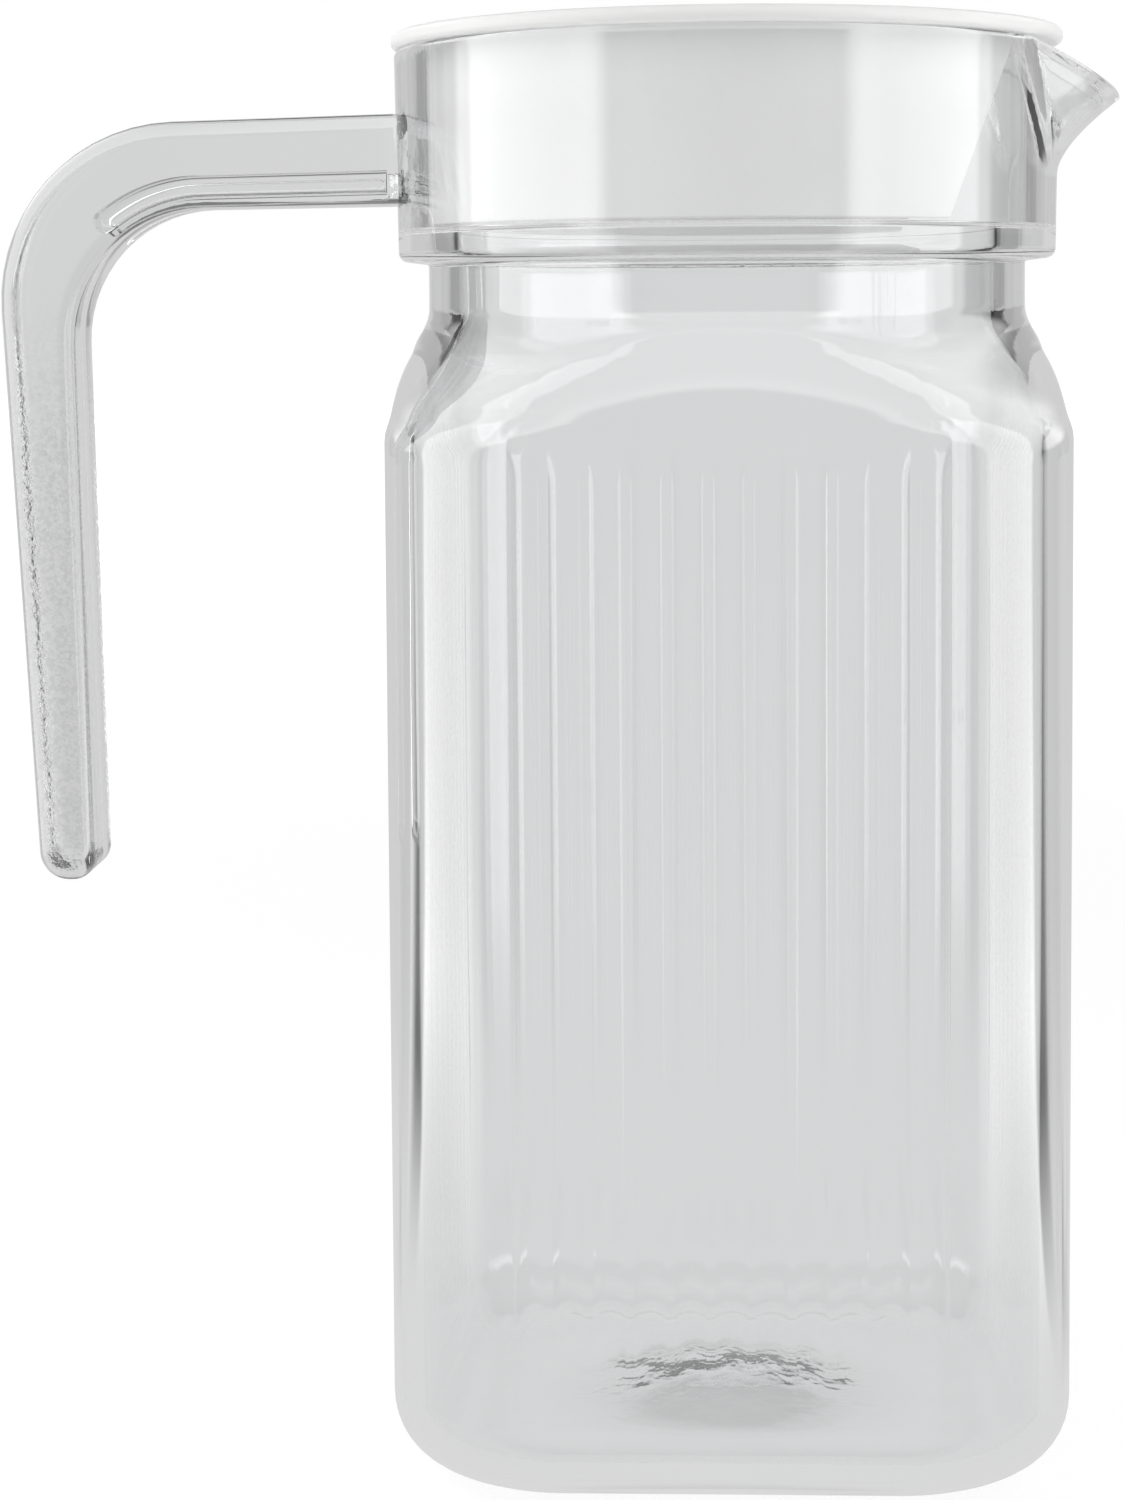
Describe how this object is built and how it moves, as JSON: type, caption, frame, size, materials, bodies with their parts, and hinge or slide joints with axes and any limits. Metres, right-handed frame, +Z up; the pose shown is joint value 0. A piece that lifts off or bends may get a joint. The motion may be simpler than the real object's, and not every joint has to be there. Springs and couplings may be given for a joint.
{
  "type": "acrylic jug with lid",
  "caption": "Clear acrylic fridge jug with a square fluted body, a round pouring collar with a beak spout, an open-ended handle and a milky push-in lid.",
  "frame": {"origin": "middle of the bounding box's footprint, on the plane that the base stands on; the jug's own axis stands at x = +23.3 mm", "axes": "+Z up along the jug's axis, +X towards the spout, handle towards -X, +Y across the handle"},
  "size_m": [0.156, 0.0934, 0.1962],
  "materials": {
    "clear_acrylic": "clear, polished, with a moulded grain on the grip",
    "milky_plastic": "milky, satin"
  },
  "bodies": {
    "jug": {"vessel": "clear_acrylic", "pouring_collar": "clear_acrylic", "handle": "clear_acrylic"},
    "lid": {"lid": "milky_plastic"}
  },
  "joints": [
    {"name": "lid_lift", "type": "slide", "parent": "jug", "child": "lid", "axis": [0, 0, 1], "range_m": [0, 0.04]}
  ]
}
